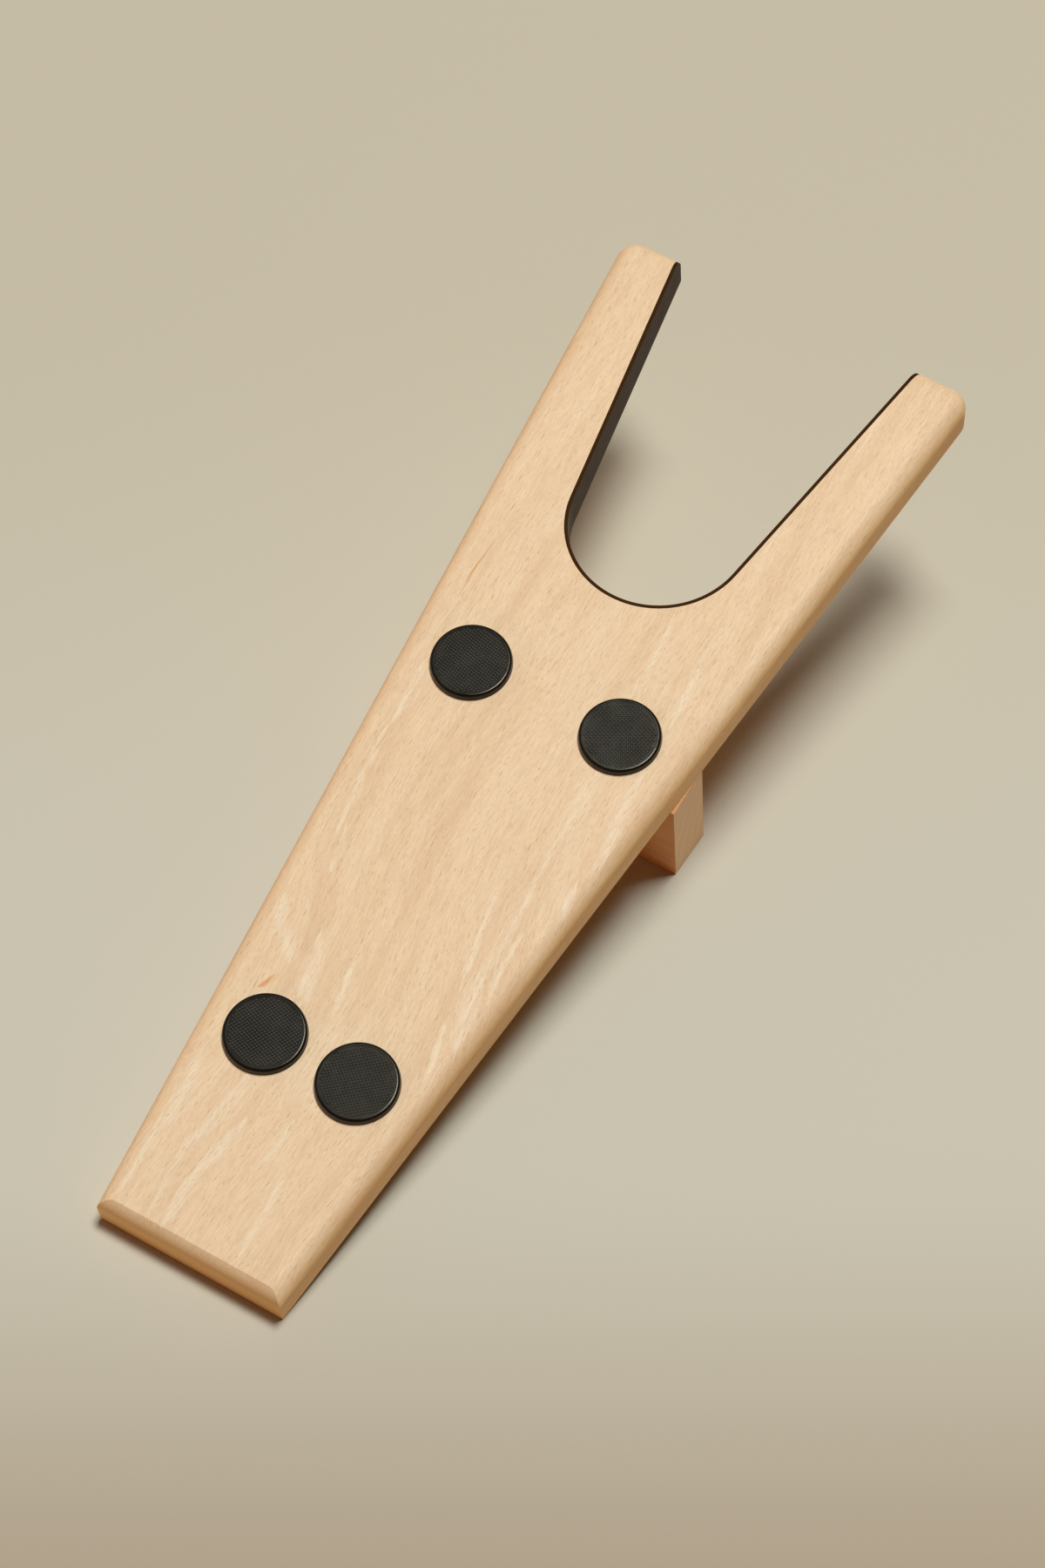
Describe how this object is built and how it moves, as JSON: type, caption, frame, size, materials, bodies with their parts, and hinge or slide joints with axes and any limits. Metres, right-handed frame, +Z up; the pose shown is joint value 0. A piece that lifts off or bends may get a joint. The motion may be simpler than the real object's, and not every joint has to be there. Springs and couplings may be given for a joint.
{
  "type": "boot jack",
  "caption": "Forked beech board leaning on a cross block, with a rubber-lined mouth that grips a boot heel and round rubber grip pads for the standing foot.",
  "frame": {"origin": "centre of the footprint box on the floor, under the part as it stands", "axes": "+Z up; +Y along the part from the heel end towards the open fork; +X to the right of someone standing on it and facing the fork"},
  "size_m": [0.1218, 0.3466, 0.0877],
  "materials": {
    "board_beech": "sanded beech, clear matt oil, short dark flecks along the grain",
    "block_beech": "sawn and sanded beech with end grain on its ends",
    "lining_rubber": "smooth black rubber with a dull sheen",
    "pad_rubber": "black rubber, fine raised texture inside a smooth rim",
    "adhesive_film": "thin double-sided adhesive film",
    "screw_steel": "zinc-plated steel"
  },
  "bodies": {
    "boot_jack": {"board": "board_beech", "support_block": "block_beech", "mouth_lining": "lining_rubber", "ball_pad_left": "pad_rubber", "ball_pad_right": "pad_rubber", "heel_pad_left": "pad_rubber", "heel_pad_right": "pad_rubber", "ball_pad_adhesive_left": "adhesive_film", "ball_pad_adhesive_right": "adhesive_film", "heel_pad_adhesive_left": "adhesive_film", "heel_pad_adhesive_right": "adhesive_film", "block_screw_left": "screw_steel", "block_screw_right": "screw_steel"}
  },
  "joints": []
}
